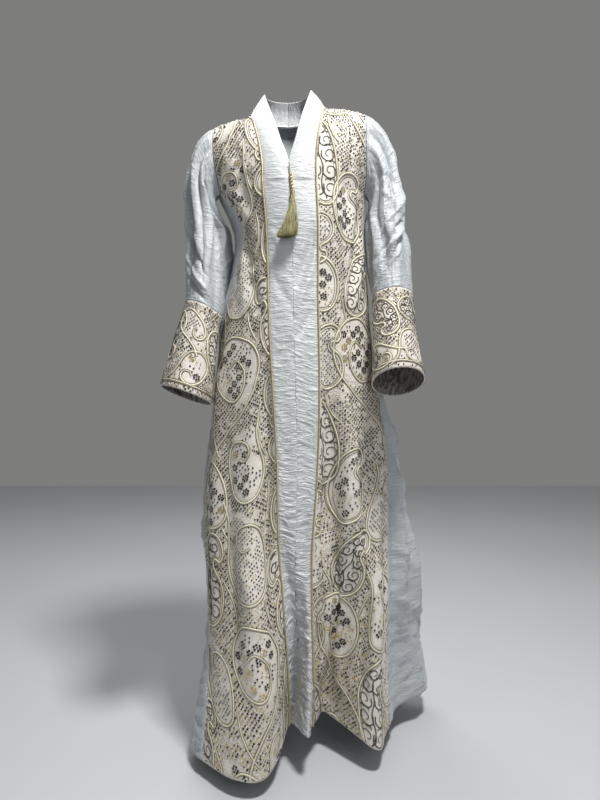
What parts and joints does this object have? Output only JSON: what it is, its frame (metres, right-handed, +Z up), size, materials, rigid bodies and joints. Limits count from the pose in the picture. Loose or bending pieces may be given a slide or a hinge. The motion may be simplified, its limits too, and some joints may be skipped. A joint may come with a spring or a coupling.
{
  "type": "abaya",
  "caption": "Floor-length abaya in its worn shape: embroidered front panels and flared cuffs, plain centre band, V neck with a stand collar, gold piping and a beaded tassel.",
  "frame": {"origin": "midway between the tops of the wearer's shoulders, where the wearer carries the garment", "axes": "+Z up, -Y to the wearer's front, +X to the wearer's left"},
  "size_m": [0.6238, 0.4771, 1.4593],
  "materials": {
    "plain": "satin",
    "embroidered": "embroidered",
    "gold": "metallic braid",
    "beads": "polished",
    "tassel": "silky"
  },
  "bodies": {
    "root": {"back": "plain", "band_left": "plain", "band_right": "plain", "bead_string": "beads", "cuff_left": "embroidered", "cuff_right": "embroidered", "front_left": "embroidered", "front_right": "embroidered", "piping_left": "gold", "piping_right": "gold", "side_left": "plain", "side_right": "plain", "sleeve_left": "plain", "sleeve_right": "plain", "tassel": "tassel"}
  },
  "joints": []
}
